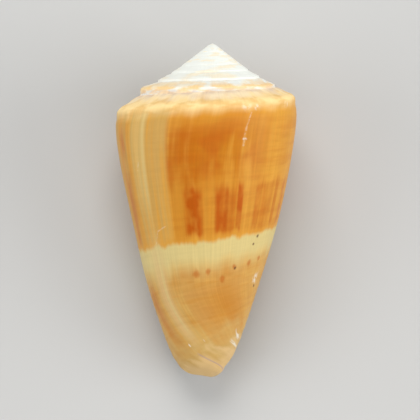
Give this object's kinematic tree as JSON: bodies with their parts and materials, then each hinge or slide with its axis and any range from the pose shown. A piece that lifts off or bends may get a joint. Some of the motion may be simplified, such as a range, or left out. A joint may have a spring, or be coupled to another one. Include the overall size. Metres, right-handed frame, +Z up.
{
  "type": "cone shell",
  "caption": "Empty seashell of a cone snail: a tapering body whorl under a low stepped spire, with a long narrow aperture underneath, lying on its lip and belly.",
  "frame": {"origin": "bottom centre of the box round the shell as it lies on a level surface", "axes": "+Z up, +Y towards the spire, +X to the right as seen from above; the aperture faces down and to the left"},
  "size_m": [0.026, 0.0474, 0.0244],
  "materials": {
    "shell": "satin"
  },
  "bodies": {
    "root": {"shell": "shell"}
  },
  "joints": []
}
